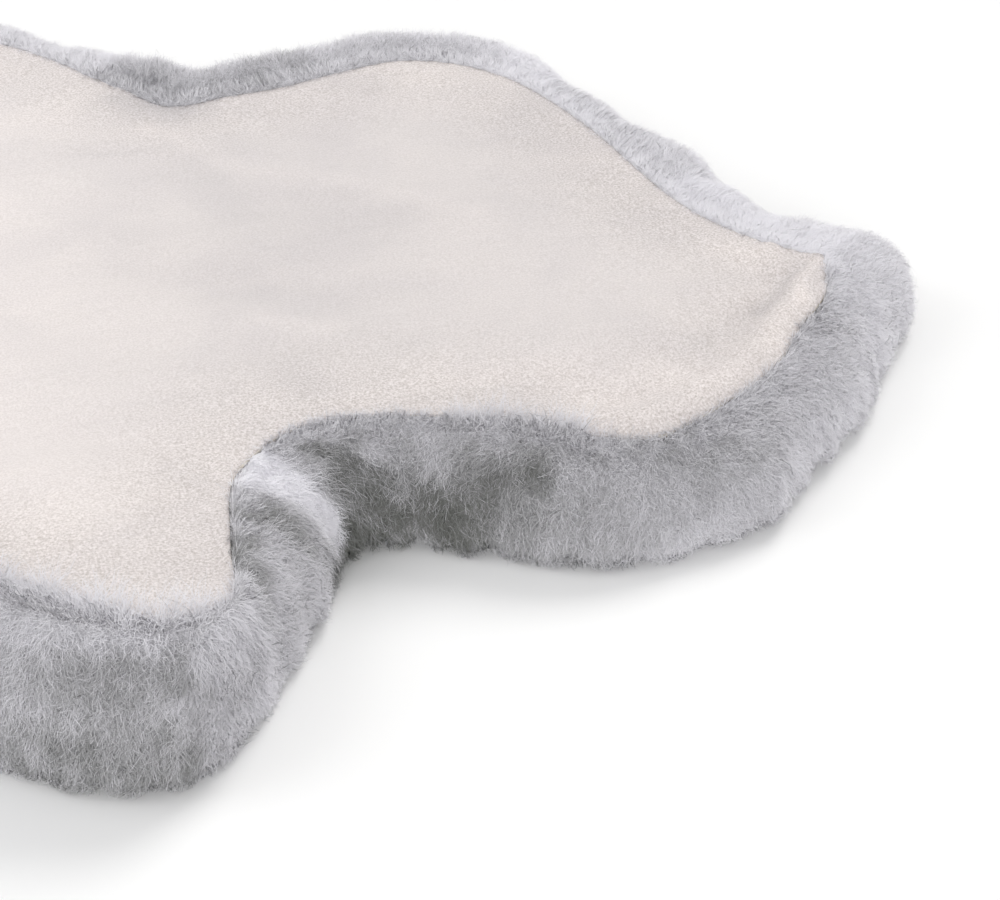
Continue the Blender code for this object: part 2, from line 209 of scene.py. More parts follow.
# Painted light and shade on the suede, in mm in plan from the tail's tip: name, where a stretch
# starts and ends, its reach, and how much paler (above 0) or darker it is painted. The darker
# stretches are painted shade in the folds' hollows, the crease behind the roll and the far notch;
# the paler ones are painted light on ridges, rims, the roll's crest and the left side.
PAINTED_SHADES = (
    ("left", (-440, 90), (-430, -60), 90, 0.065),
    ("middle", (-310, 170), (-255, -20), 75, -0.065),
    ("thighs", (-200, 110), (-150, 90), 90, -0.03),
    ("crease by the tail", (-12, -5), (-46, -37), 5, -0.09),
    ("crease", (-46, -37), (-86, -63), 7, -0.06),
    ("crease end", (-86, -63), (-125, -68), 11, -0.03),
    ("crest by the tail", (-4, -2), (-26, -37), 5, 0.11),
    ("crest", (-26, -37), (-54, -72), 8, 0.08),
    ("rump rim", (-150, -96), (-90, -92), 19, 0.09),
    ("far rump", (-77, 71), (-70, 38), 22, -0.055),
    ("rump back", (-110, 192), (-104, 165), 24, -0.045),
    ("thigh", (-173, 176), (-132, 173), 26, -0.03),
    ("loin", (-258, 111), (-208, 84), 22, -0.04),
    ("back", (-303, 171), (-293, 111), 18, -0.05),
    ("belly", (-358, 71), (-257, 12), 15, -0.04),
    ("flank", (-397, -2), (-332, -72), 34, -0.04),
    ("saddle", (-286, -47), (-279, -66), 14, -0.06),
    ("leg hollow", (-345, -118), (-337, -127), 12, -0.07),
    ("shoulder side", (-365, 117), (-353, 103), 16, -0.04),
    ("far edge", (-218, 257), (-196, 245), 14, -0.04),
    ("far notch", (-340, 262), (-306, 245), 17, -0.19),
    ("ridge", (-329, 223), (-289, 167), 7, 0.05),
    ("ridge end", (-289, 167), (-165, 76), 8, 0.03),
    ("leg top", (-415, -123), (-383, -170), 24, 0.04),
    ("near streak", (-292, 0), (-262, -18), 8, 0.06),
    ("saddle rim", (-221, -65), (-159, -73), 14, 0.04),
    ("leg end", (-366, -209), (-348, -213), 12, 0.05),
    ("tail top", (-48, 22), (-21, 4), 10, 0.05),
    ("far left", (-414, 251), (-379, 246), 18, 0.05),
)

# The crease behind the tail's roll, in mm in plan from the tail's tip: place,
# width, and depth as a share of the whole.
CREASE = (
    (-10, -3, 5, 0.9),
    (-28, -20, 5, 1.0),
    (-47, -38, 6, 0.9),
    (-66, -51, 9, 0.6),
    (-90, -65, 13, 0.35),
    (-128, -70, 16, 0.2),
)


def tail_tip():
    """Plan position of the tail's tip, the hide's furthest point along X."""
    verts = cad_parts["hide"].data.vertices
    tip = max(verts, key=lambda v: v.co.x).co
    return np.array([tip.x, tip.y])


TAIL = tail_tip()


COLOUR = {"subtype": "COLOR", "size": 3, "min": 0.0, "max": 1.0}


class RUG_PG_hide(bpy.types.PropertyGroup):
    """Sizes and colours of the suede hide."""

    colour: FloatVectorProperty(
        name="Suede", description="Colour of the brushed side", default=(0.70, 0.655, 0.645), **COLOUR,
    )
    cloud: FloatVectorProperty(
        name="Cloudy patches", description="Cooler colour of the brushed patches",
        default=(0.645, 0.605, 0.605), **COLOUR,
    )
    cut: FloatVectorProperty(
        name="Cut edge", description="Colour of the bare cut edge", default=(0.64, 0.56, 0.49), **COLOUR,
    )
    nap: FloatProperty(
        name="Nap", description="Size of the suede's grain", unit="LENGTH", default=0.0012, min=0.0002,
    )
    roll: FloatProperty(
        name="Roll", description="Depth of the crease behind the rolled edge", unit="LENGTH",
        default=0.0036, min=0.0,
    )
    folds: FloatProperty(
        name="Folds", description="How much deeper the folds lie than the plain sheet's", default=1.3,
        min=0.0,
    )
    crinkle: FloatProperty(
        name="Crinkle", description="Depth of the small folds at the tail", unit="LENGTH",
        default=0.0012, min=0.0,
    )


class RUG_PG_wool(bpy.types.PropertyGroup):
    """Sizes and colours of the wool."""

    dark: FloatVectorProperty(
        name="Dark wool", description="Darkest fibres", default=(0.165, 0.17, 0.155), **COLOUR,
    )
    grey: FloatVectorProperty(
        name="Grey wool", description="Most of the fibres", default=(0.72, 0.71, 0.745), **COLOUR,
    )
    pale: FloatVectorProperty(
        name="Pale wool", description="Palest fibres", default=(0.93, 0.92, 0.96), **COLOUR,
    )
    fibre_length: FloatProperty(
        name="Fibre length", description="Visible length of a fibre", unit="LENGTH", default=0.0088,
        min=0.002,
    )
    fibre_width: FloatProperty(
        name="Fibre width", description="Width of a fibre at its root", unit="LENGTH", default=0.00024,
        min=0.0001,
    )
    fibres: IntProperty(
        name="Fibres", description="Number of fibres on the rug", default=254000, min=1000, max=264000,
    )
    wisps: IntProperty(
        name="Wisps", description="Number of loose fibres at the hide's edge", default=16000, min=0,
        max=18000,
    )
    depth: FloatProperty(
        name="Fibre depth", description="Depth of the fibres over the wool's ground", unit="LENGTH",
        default=0.0032, min=0.0, max=0.02,
    )
    tuft: IntProperty(name="Tuft", description="Fibres in one tuft", default=9, min=4)
    lock: IntProperty(name="Lock", description="Fibres in one lock", default=420, min=50)


class RUG_PG_stage(bpy.types.PropertyGroup):
    """Floor and light."""

    floor: FloatVectorProperty(
        name="Floor", description="Colour of the floor", default=(0.93, 0.93, 0.93), **COLOUR,
    )
    surround: FloatProperty(name="Surround", description="Strength of the even light", default=0.62, min=0.0)
    backdrop: FloatProperty(name="Backdrop", description="Brightness behind the floor", default=0.97, min=0.0)
    key: FloatProperty(name="Key", description="Strength of the high soft light", default=1.37, min=0.0)
    fill: FloatProperty(name="Fill", description="Strength of the low soft light", default=1.19, min=0.0)
    side: FloatProperty(name="Side", description="Power of the side light", subtype="POWER", default=3.4)


def group_output(tree, links):
    """The group's output node, joined to the given sockets by name."""
    out = tree.nodes.new("NodeGroupOutput")
    for name, socket in links.items():
        tree.links.new(socket, out.inputs[name])


def node(tree, kind, **values):
    """A new shader node with its settings; a key with a leading capital sets the input of that name."""
    made = tree.nodes.new(kind)
    for key, value in values.items():
        if key[0].isupper():
            made.inputs[key.replace("_", " ")].default_value = value
        else:
            setattr(made, key, value)
    return made


def mottle_group():
    """Soft patches and a fine grain over a surface: a cloud mask, a streak mask and a height."""
    tree = bpy.data.node_groups.new("Soft mottle", "ShaderNodeTree")
    face = tree.interface
    face.new_socket("Patch size", in_out="INPUT", socket_type="NodeSocketFloat")
    face.new_socket("Grain size", in_out="INPUT", socket_type="NodeSocketFloat")
    for name in ("Cloud", "Streak", "Grain"):
        face.new_socket(name, in_out="OUTPUT", socket_type="NodeSocketFloat")
    given = tree.nodes.new("NodeGroupInput")
    place = node(tree, "ShaderNodeTexCoord").outputs["Object"]
    link = tree.links.new

    def noise(vector, size, **values):
        made = node(tree, "ShaderNodeTexNoise", **values)
        inverse = node(tree, "ShaderNodeMath", operation="DIVIDE")
        inverse.inputs[0].default_value = 1.0
        link(vector, made.inputs["Vector"])
        link(given.outputs[size], inverse.inputs[1])
        link(inverse.outputs[0], made.inputs["Scale"])
        return made.outputs[0]

    brushed = node(tree, "ShaderNodeMapping", Rotation=(0.0, 0.0, math.radians(12.0)), Scale=(0.28, 1.5, 1.0))
    link(place, brushed.inputs["Vector"])
    cloud = noise(place, "Patch size", Detail=4.0, Roughness=0.55, Distortion=0.6)
    streak = noise(brushed.outputs[0], "Patch size", Detail=5.0, Roughness=0.62, Distortion=0.9)
    grain = noise(place, "Grain size", Detail=3.0, Roughness=0.7)
    group_output(tree, {"Cloud": cloud, "Streak": streak, "Grain": grain})
    return tree


def shared_group(name, build):
    """The node group of that name, built the first time it is asked for."""
    return bpy.data.node_groups.get(name) or build()


def new_material(name, roughness, sheen, sheen_roughness):
    """A material, its node tree and its shader, with the values that are the same all over."""
    material = bpy.data.materials.new(name)
    material.use_nodes = True
    tree = material.node_tree
    shader = tree.nodes["Principled BSDF"]
    inputs = shader.inputs
    inputs["Roughness"].default_value = roughness
    inputs["Specular IOR Level"].default_value = 0.15
    inputs["Sheen Weight"].default_value = sheen
    inputs["Sheen Roughness"].default_value = sheen_roughness
    return material, tree, shader


def ramp(tree, fac, stops):
    """A colour ramp over fac with (position, colour) stops."""
    made = tree.nodes.new("ShaderNodeValToRGB")
    band = made.color_ramp
    while len(band.elements) < len(stops):
        band.elements.new(0.5)
    for element, (at, colour) in zip(band.elements, stops):
        element.position = at
        element.color = (*colour, 1.0)
    tree.links.new(fac, made.inputs[0])
    return made.outputs[0]


def mix(tree, fac, a, b, kind="MIX"):
    """A colour mix; fac is a socket or a number, a and b are sockets or colours."""
    made = node(tree, "ShaderNodeMix", data_type="RGBA", blend_type=kind)
    for value, index in ((fac, 0), (a, 6), (b, 7)):
        if isinstance(value, bpy.types.NodeSocket):
            tree.links.new(value, made.inputs[index])
        elif index == 0:
            made.inputs[index].default_value = value
        else:
            made.inputs[index].default_value = (*value, 1.0)
    return made.outputs[2]


def mottled(tree, shader, patch, grain, strength, depth):
    """The mottle's outputs for patches and grain of these sizes; its grain also roughens the surface."""
    mottle = tree.nodes.new("ShaderNodeGroup")
    mottle.node_tree = shared_group("Soft mottle", mottle_group)
    mottle.inputs["Patch size"].default_value = patch
    mottle.inputs["Grain size"].default_value = grain
    bump = node(tree, "ShaderNodeBump", Strength=strength, Distance=depth)
    tree.links.new(mottle.outputs["Grain"], bump.inputs["Height"])
    tree.links.new(bump.outputs[0], shader.inputs["Normal"])
    return mottle.outputs


def suede_material(sizes):
    """Cream suede: soft clouds and streaks, a fine grain, and the painted light and shade of its folds,
    crease and roll.
    """
    material, tree, shader = new_material("Cream suede", 0.88, 0.25, 0.55)
    mottle = mottled(tree, shader, 0.085, sizes.nap, 0.6, 0.0008)
    base = ramp(tree, mottle["Cloud"], ((0.33, sizes.cloud), (0.66, sizes.colour)))
    streaked = mix(
        tree,
        ramp(tree, mottle["Streak"], ((0.46, (0.0,) * 3), (0.72, (0.34,) * 3))),
        base,
        tuple(min(1.0, c * 1.08) for c in sizes.colour),
    )
    fleck = ramp(tree, mottle["Grain"], ((0.34, (0.70, 0.67, 0.64)), (0.66, (1.22, 1.22, 1.22))))
    coarse = node(tree, "ShaderNodeAttribute", attribute_name=COARSE_LAYER)
    grained = mix(tree, coarse.outputs["Fac"], streaked, fleck, "MULTIPLY")
    # The suede's painted light and shade, read from its layer.
    brushed = node(tree, "ShaderNodeAttribute", attribute_name=PAINTED_SHADE_LAYER)
    shade = ramp(tree, brushed.outputs["Fac"], ((0.0, (0.78, 0.79, 0.81)), (1.0, (1.22, 1.21, 1.19))))
    tree.links.new(mix(tree, 1.0, grained, shade, "MULTIPLY"), shader.inputs["Base Color"])
    return material


def cut_material(sizes):
    """The bare leather of the cut edge."""
    material, tree, shader = new_material("Cut edge", 0.8, 0.0, 0.5)
    mottle = mottled(tree, shader, 0.012, 0.0006, 0.3, 0.0004)
    pale = tuple(min(1.0, c * 1.7) for c in sizes.cut)
    colour = ramp(tree, mottle["Cloud"], ((0.30, sizes.cut), (0.68, pale)))
    tree.links.new(colour, shader.inputs["Base Color"])
    return material


def wool_tone(tree, sizes, socket):
    """The wool's colour for a tone from 0 to 1."""
    return ramp(tree, socket, ((0.0, sizes.dark), (0.5, sizes.grey), (1.0, sizes.pale)))


def pale_share(tree, socket):
    """How far the palest wool loses the painted shade between its fibres and at their roots, for a tone from
    0 to 1.
    """
    return ramp(tree, socket, ((0.72, (0.0,) * 3), (0.95, (0.8,) * 3)))


def ground_material(sizes):
    """The close wool under the fibres, which takes its tone from the mesh."""
    material, tree, shader = new_material("Wool ground", 1.0, 0.0, 0.5)
    mottle = mottled(tree, shader, 0.010, 0.0009, 0.8, 0.0012)
    place = node(tree, "ShaderNodeAttribute", attribute_name=TONE_LAYER)
    tone = wool_tone(tree, sizes, place.outputs["Fac"])
    # The grain darkens the ground between the fibres: partly the wool's own grain, partly painted shade in
    # the pile.
    shade = ramp(tree, mottle["Grain"], ((0.33, (0.55,) * 3), (0.66, (0.95,) * 3)))
    even = mix(tree, pale_share(tree, place.outputs["Fac"]), shade, (1.0,) * 3)
    tree.links.new(mix(tree, 1.0, tone, even, "MULTIPLY"), shader.inputs["Base Color"])
    return material


def fibre_material(sizes):
    """Wool fibres: across their map the fibre's tone, up the map from its root to its tip."""
    material, tree, shader = new_material("Wool fibres", 0.9, 0.2, 0.5)
    place = node(tree, "ShaderNodeUVMap", uv_map=FIBRE_MAP)
    parts = node(tree, "ShaderNodeSeparateXYZ")
    tree.links.new(place.outputs[0], parts.inputs[0])
    tone = wool_tone(tree, sizes, parts.outputs[0])
    # Up the fibre from its root: darker low down and a little paler at the tip, painted shade deep in the
    # pile and painted light on the tips.
    up = ramp(tree, parts.outputs[1], ((0.0, (0.70,) * 3), (0.5, (0.94,) * 3), (1.0, (1.06,) * 3)))
    even = mix(tree, pale_share(tree, parts.outputs[0]), up, (1.0,) * 3)
    tree.links.new(mix(tree, 1.0, tone, even, "MULTIPLY"), shader.inputs["Base Color"])
    return material


def floor_material(sizes):
    """A plain pale floor."""
    material, tree, shader = new_material("Pale floor", 0.7, 0.0, 0.5)
    shader.inputs["Base Color"].default_value = (*sizes.floor, 1.0)
    return material


def merged_copy(name):
    """The CAD node's mesh as a bmesh, with its loose triangles joined."""
    bm = bmesh.new()
    bm.from_mesh(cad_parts[name].data)
    bmesh.ops.remove_doubles(bm, verts=bm.verts, dist=0.00002)
    return bm


def object_from(name, mesh, *materials):
    """A new object in the scene with this mesh and these materials."""
    obj = bpy.data.objects.new(name, mesh)
    bpy.context.scene.collection.objects.link(obj)
    for material in materials:
        mesh.materials.append(material)
    return obj


def refined(name, bm, levels):
    """The bmesh smoothed by Subdivision Surface, as a finished mesh."""
    mesh = bpy.data.meshes.new(name)
    bm.to_mesh(mesh)
    bm.free()
    cage = object_from(name + "_cage", mesh)
    smooth = cage.modifiers.new("Smooth", "SUBSURF")
    smooth.levels = smooth.render_levels = levels
    evaluated = cage.evaluated_get(bpy.context.evaluated_depsgraph_get())
    fine = bpy.data.meshes.new_from_object(evaluated)
    bpy.data.objects.remove(cage)
    bpy.data.meshes.remove(mesh)
    fine.name = name
    return fine


def places(mesh):
    """The mesh's points as an array."""
    co = np.zeros(len(mesh.vertices) * 3, np.float32)
    mesh.vertices.foreach_get("co", co)
    return co.reshape(-1, 3).astype(float)


def put_places(mesh, co):
    """Moves the mesh's points to the array's places."""
    mesh.vertices.foreach_set("co", co.astype(np.float32).ravel())
    mesh.update()


def normals_of(mesh):
    """The mesh's smooth normals as an array."""
    found = np.zeros(len(mesh.vertices) * 3, np.float32)
    mesh.vertices.foreach_get("normal", found)
    return found.reshape(-1, 3).astype(float)


def smoothstep(x, low, high):
    """0 below low, 1 above high, and a smooth rise between them."""
    t = np.clip((x - low) / (high - low), 0, 1)
    return t * t * (3 - 2 * t)


def waves(points, size, seed, count=9):
    """Smooth noise from -1 to 1: a sum of waves of about the given length in random directions."""
    rng = np.random.default_rng(seed)
    total = np.zeros(len(points))
    for _ in range(count):
        way = rng.normal(size=3)
        way /= np.linalg.norm(way)
        length = size * rng.uniform(0.7, 1.5)
        total += np.sin(points @ way * (2 * math.pi / length) + rng.uniform(0, 2 * math.pi))
    return np.clip(total / math.sqrt(count), -1.6, 1.6) / 1.6


def plain_edge():
    """The upper edge of the plain sheet as a loop of points, in order and anticlockwise from above."""
    bm = merged_copy("hide")
    bm.normal_update()

    def is_rim(edge):
        tops = [face.normal.z > 0.6 for face in edge.link_faces]
        walls = [abs(face.normal.z) < 0.3 for face in edge.link_faces]
        return any(tops) and any(walls)

    ahead = {}
    for edge in filter(is_rim, bm.edges):
        a, b = edge.verts
        ahead.setdefault(a, []).append(b)
        ahead.setdefault(b, []).append(a)
    start = max(ahead, key=lambda v: v.co.x)
    loop, before, here = [start], None, start
    while True:
        step = next(v for v in ahead[here] if v != before)
        if step == start:
            break
        loop.append(step)
        before, here = here, step
    found = np.array([tuple(v.co) for v in loop])
    bm.free()
    after = np.roll(found, -1, axis=0)
    turning = (found[:, 0] * after[:, 1] - after[:, 0] * found[:, 1]).sum()
    return found if turning > 0 else found[::-1].copy()


def evened(plan, values, reach):
    """Each point's values, averaged with those of the points near it in plan."""
    gap = ((plan[:, None] - plan[None]) ** 2).sum(-1)
    weight = np.exp(-gap / reach**2)
    return weight @ values / weight.sum(axis=1, keepdims=True)


def edge_moves(loop):
    """How each point of the plain sheet's edge moves in plan to the finished hide's."""
    ahead = np.roll(loop, -1, axis=0) - np.roll(loop, 1, axis=0)
    out = unit(np.column_stack([ahead[:, 1], -ahead[:, 0]]))
    reach = NEAR_REACH * smoothstep(-out[:, 1], -0.1, 0.5)
    for _name, x, y, width, there in EDGE_MOVES:
        gap = np.linalg.norm((loop[:, :2] - TAIL) / MM - (x, y), axis=1)
        reach += (there - reach) * np.exp(-((gap / width) ** 2))
    return evened(loop[:, :2], out * (reach * MM)[:, None], MOVE_BLUR)


def hide_edge():
    """The upper edge of the finished hide as a loop of points, in order."""
    loop = plain_edge()
    loop[:, :2] += edge_moves(loop)
    return loop


def inside_loop(points, loop):
    """Which points lie within the closed loop, in plan."""
    a, b = loop[:, :2], np.roll(loop[:, :2], -1, axis=0)
    result = np.zeros(len(points), bool)
    for start in range(0, len(points), CHUNK):
        x = points[start : start + CHUNK, 0:1]
        y = points[start : start + CHUNK, 1:2]
        crosses = (a[:, 1] > y) != (b[:, 1] > y)
        rise = np.where(b[:, 1] == a[:, 1], 1.0, b[:, 1] - a[:, 1])
        at = a[:, 0] + (y - a[:, 1]) * (b[:, 0] - a[:, 0]) / rise
        result[start : start + CHUNK] = (crosses & (x < at)).sum(axis=1) % 2 == 1
    return result


def edge_field(points, loop):
    """For each point: its plan distance to the hide's edge, the nearest edge point, and the way out."""
    a, b = loop[:, :2], np.roll(loop[:, :2], -1, axis=0)
    middle = (a + b) / 2
    weight = np.linalg.norm(b - a, axis=1)
    ab = b - a
    distance = np.zeros(len(points))
    nearest = np.zeros(len(points), int)
    out = np.zeros((len(points), 2))
    for start in range(0, len(points), CHUNK):
        p = points[start : start + CHUNK, None, :2]
        t = np.clip(((p - a) * ab).sum(-1) / (ab * ab).sum(-1), 0, 1)
        gap = np.linalg.norm(p - a - t[..., None] * ab, axis=-1)
        nearest[start : start + CHUNK] = gap.argmin(axis=1)
        distance[start : start + CHUNK] = gap.min(axis=1)
        away = p - middle
        push = weight / ((away**2).sum(-1) + (4 * MM) ** 2) ** 2
        out[start : start + CHUNK] = (away * push[..., None]).sum(axis=1)
    out /= np.maximum(np.linalg.norm(out, axis=1, keepdims=True), 1e-9)
    return distance, nearest, out


def move_edge(bm):
    """Moves the plain sheet's edge to the finished hide's, and less so further in."""
    loop = plain_edge()
    co = np.array([tuple(v.co) for v in bm.verts])
    distance, nearest, _out = edge_field(co, loop)
    move = edge_moves(loop)[nearest] * (1 - smoothstep(distance, 0, MOVE_REACH))[:, None]
    for vert, (x, y) in zip(bm.verts, co[:, :2] + move):
        vert.co.x, vert.co.y = x, y


def deepen_folds(bm, amount):
    """Moves the sheet's points further from its smooth level, and leaves its edge."""
    co = np.array([tuple(v.co) for v in bm.verts])
    top = np.array([v.normal.z > 0 for v in bm.verts])
    distance = edge_field(co, hide_edge())[0]
    for side in (top, ~top):
        level = co[side, 2:]
        risen = (level - evened(co[side, :2], level, FOLD_BLUR))[:, 0]
        co[side, 2] += risen * amount * smoothstep(distance[side], 14 * MM, 40 * MM)
    for vert, place in zip(bm.verts, co):
        vert.co = place


def put_layer(mesh, name, values):
    """Keeps a number for each point of the mesh, for its material."""
    layer = mesh.attributes.new(name, "FLOAT", "POINT")
    layer.data.foreach_set("value", values.astype(np.float32))


def beside_stretch(points, start, end):
    """For each point: how far along the stretch from start to end it lies, from 0 to 1, and how far off."""
    way = np.subtract(end, start)
    t = np.clip((points - start) @ way / (way @ way), 0, 1)
    return t, np.linalg.norm(points - start - t[:, None] * way, axis=1)


def painted_shade_at(points):
    """The suede's painted light and shade at each point, from 0 to 1: paler above 0.5, darker below."""
    plan = (points[:, :2] - TAIL) / MM
    plan = plan + 3 * np.column_stack([waves(points * (1, 1, 0), 24 * MM, SEED + seed) for seed in (5, 6)])
    shade = np.zeros(len(points))
    for _name, start, end, reach, paler in PAINTED_SHADES:
        _t, away = beside_stretch(plan, start, end)
        shade += paler * np.exp(-((away / reach) ** 2))
    return np.clip(0.5 + shade / 0.44, 0, 1)


def crease_at(from_tail):
    """The depth of the crease behind the roll at each point, from 0 to 1."""
    plan, deepest = from_tail[:, :2], np.zeros(len(from_tail))
    for a, b in zip(CREASE, CREASE[1:]):
        t, away = beside_stretch(plan, a[:2], b[:2])
        width, depth = a[2] + (b[2] - a[2]) * t, a[3] + (b[3] - a[3]) * t
        deepest = np.maximum(deepest, depth * np.exp(-((away / width) ** 2)))
    return deepest


def make_hide_mesh(sizes):
    """The hide: the plain sheet with its edge moved out, its folds deepened and its edge rolled."""
    bm = merged_copy("hide")
    bm.normal_update()
    crease = bm.edges.layers.float.new("crease_edge")
    for edge in bm.edges:
        if edge.calc_face_angle(0.0) > CUT_ANGLE:
            edge[crease] = 1.0
    for face in bm.faces:
        face.material_index = 0 if face.normal.z > 0.3 else 1
        face.smooth = True
    move_edge(bm)
    deepen_folds(bm, sizes.folds)
    mesh = refined("suede_hide", bm, 2)
    co = places(mesh)
    loop = hide_edge()
    distance, _nearest, out = edge_field(co, loop)
    tail = np.array([*TAIL, 0.0])
    from_tail = (co - tail) / MM
    rolled = smoothstep(from_tail[:, 0], -185, -120) * smoothstep(-from_tail[:, 1], -6, 6)
    crease = crease_at(from_tail) * sizes.roll
    crest = np.exp(-(((distance - 12 * MM) / (8 * MM)) ** 2)) * 0.4 * sizes.roll
    wander = 1 + 0.35 * waves(co * (1.0, 1.0, 0.0), 45 * MM, SEED + 1)
    tip = 1 - smoothstep(np.linalg.norm(from_tail[:, :2], axis=1), 20, 56)
    outer = 1 - smoothstep(distance, 8 * MM, 18 * MM)
    crinkle = waves(co * (1.0, 1.0, 0.2), 9 * MM, SEED + 2) * sizes.crinkle * tip * outer
    ripple = waves(co * (1.0, 1.0, 0.2), 60 * MM, SEED + 3) * 0.5 * MM * smoothstep(distance, 4 * MM, 30 * MM)
    uneven = waves(co * (1.0, 1.0, 0.0), 11 * MM, SEED + 4) * 0.4 * MM * (1 - smoothstep(distance, 0, 5 * MM))
    co[:, 2] += (crest * rolled - crease) * wander + crinkle + ripple
    co[:, :2] += out * uneven[:, None]
    put_places(mesh, co)
    mesh.set_sharp_from_angle(angle=CUT_ANGLE)
    put_layer(mesh, PAINTED_SHADE_LAYER, painted_shade_at(co))
    put_layer(mesh, COARSE_LAYER, 0.95 - 0.6 * smoothstep(distance, 12 * MM, 90 * MM))
    return mesh


class RUG_OT_hide(bpy.types.Operator):
    """Adds the suede hide with its rolled edge and bare cut edge"""

    bl_idname = "rug.hide"
    bl_label = "Add Suede Hide"

    def execute(self, context):
        sizes = context.scene.rug_hide
        mesh = make_hide_mesh(sizes)
        obj = object_from("suede_hide", mesh, suede_material(sizes), cut_material(sizes))
        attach(obj, "root")
        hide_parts("hide")
        return {"FINISHED"}


def make_ground_mesh(sizes, loop):
    """The wool's close ground, drawn in so that the fibres reach the wool's outer shape."""
    bm = merged_copy("wool_pile")
    for face in bm.faces:
        face.smooth = True
    mesh = refined("wool_ground", bm, 1)
    co = places(mesh)
    distance, nearest, _out = edge_field(co, loop)
    inside = inside_loop(co, loop)
    high = co[:, 2] > FOOT
    under, beside = inside & high, ~inside & high & (distance < BESIDE_HIDE)
    cover = edge_shares(loop)[0][nearest]
    co[under, 2] -= (1.5 + 9.0 * smoothstep(distance[under], 4 * MM, 22 * MM)) * MM
    co[under, 2] = np.minimum(co[under, 2], loop[nearest[under], 2] - UNDER_HIDE)
    co[beside, 2] += 2.0 * MM * (1 - smoothstep(distance[beside], 3 * MM, 9 * MM))
    proud = (0.2 + 8.0 * smoothstep(cover[beside], 0.6, 0.95)) * MM
    crest = loop[nearest[beside], 2] + proud + 0.3 * distance[beside]
    co[beside, 2] = np.minimum(co[beside, 2], crest)
    outside = np.where(inside, 0.0, smoothstep(distance, 0.0, 12 * MM))
    outside *= 0.55 + 0.45 * smoothstep(co[:, 2], 4 * MM, 22 * MM)
    drawn = normals_of(mesh) * (sizes.depth * outside)[:, None]
    drawn[:, 2] *= co[:, 2] > 1 * MM
    co -= drawn
    co[:, 2] = np.maximum(co[:, 2], 0)
    put_places(mesh, co)
    tone = tones_at(co)
    # The ground by the hide's edge takes part of the edge's paler tone: painted light.
    near = 0.4 * np.minimum(0.25 + cover, 1) * (1 - smoothstep(distance, 3 * MM, 18 * MM))
    put_layer(mesh, TONE_LAYER, tone + (EDGE_LIT_TONE - tone) * near)
    return mesh


class RUG_OT_ground(bpy.types.Operator):
    """Adds the close wool that the fibres grow from"""

    bl_idname = "rug.ground"
    bl_label = "Add Wool Ground"

    def execute(self, context):
        sizes = context.scene.rug_wool
        mesh = make_ground_mesh(sizes, hide_edge())
        obj = object_from("wool_ground", mesh, ground_material(sizes))
        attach(obj, "root")
        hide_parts("wool_pile")
        return {"FINISHED"}


def scatter(mesh, loop, count, rng):
    """Random roots on the ground outside the hide, denser towards the rump.

    Gives each root's place, the ground's smooth normal there, the way out from
    the hide's edge, how near the edge it is, how far round the edge it lies, and
    its place on the wool's strip, along the edge and down from it.
    """
    mesh.calc_loop_triangles()
    tri = np.zeros(len(mesh.loop_triangles) * 3, np.int32)
    mesh.loop_triangles.foreach_get("vertices", tri)
    tri = tri.reshape(-1, 3)
    co, normal = places(mesh), normals_of(mesh)
    distance, nearest, out = edge_field(co, loop)
    open_wool = ~inside_loop(co, loop)
    corner = co[tri]
    area = np.linalg.norm(np.cross(corner[:, 1] - corner[:, 0], corner[:, 2] - corner[:, 0]), axis=1)
    centre = corner.mean(axis=1)
    facing = normal[tri].mean(axis=1)[:, 2] > UNDERNEATH
    shown = open_wool[tri].any(axis=1) & facing & (centre[:, 2] > 1.0 * MM)
    from_tail = (centre[:, 0] - TAIL[0]) / MM
    density = SPARSE + (1 - SPARSE) * smoothstep(from_tail, *SPARSE_END)
    chance = area * shown * density
    pick = rng.choice(len(tri), size=count, p=chance / chance.sum())
    a, b = rng.random(count), rng.random(count)
    flip = a + b > 1
    a[flip], b[flip] = 1 - a[flip], 1 - b[flip]
    share = np.stack([1 - a - b, a, b], axis=1)[:, :, None]
    roots = (corner[pick] * share).sum(axis=1)
    up = unit((normal[tri[pick]] * share).sum(axis=1))
    away = (out[tri[pick]] * share).sum(axis=1)
    gap = (distance[tri[pick]] * share[:, :, 0]).sum(axis=1)
    near = 1 - smoothstep(gap, 2 * MM, 20 * MM)
    turn = nearest[tri[pick, 0]]
    ahead = np.roll(loop, -1, axis=0) - loop
    step = np.linalg.norm(ahead, axis=1)
    along = (np.cumsum(step) - step)[turn] + ((roots - loop[turn]) * unit(ahead)[turn]).sum(axis=1)
    strip = np.column_stack([along, gap - roots[:, 2]])
    clear = ~inside_loop(roots, loop)
    return [values[clear] for values in (roots, up, away, near, turn, strip)]


def nearest_of(points, chosen):
    """For each point, the number of the nearest chosen point."""
    tree = KDTree(len(chosen))
    for i, index in enumerate(chosen):
        tree.insert(points[index], i)
    tree.balance()
    return np.array([tree.find(p)[1] for p in points])


def unit(v):
    """Each vector at a length of 1."""
    return v / np.maximum(np.linalg.norm(v, axis=1, keepdims=True), 1e-9)


def turned(v, axis, angle):
    """Each vector turned about its own axis."""
    c, s = np.cos(angle)[:, None], np.sin(angle)[:, None]
    return v * c + np.cross(axis, v) * s + axis * (v * axis).sum(1, keepdims=True) * (1 - c)


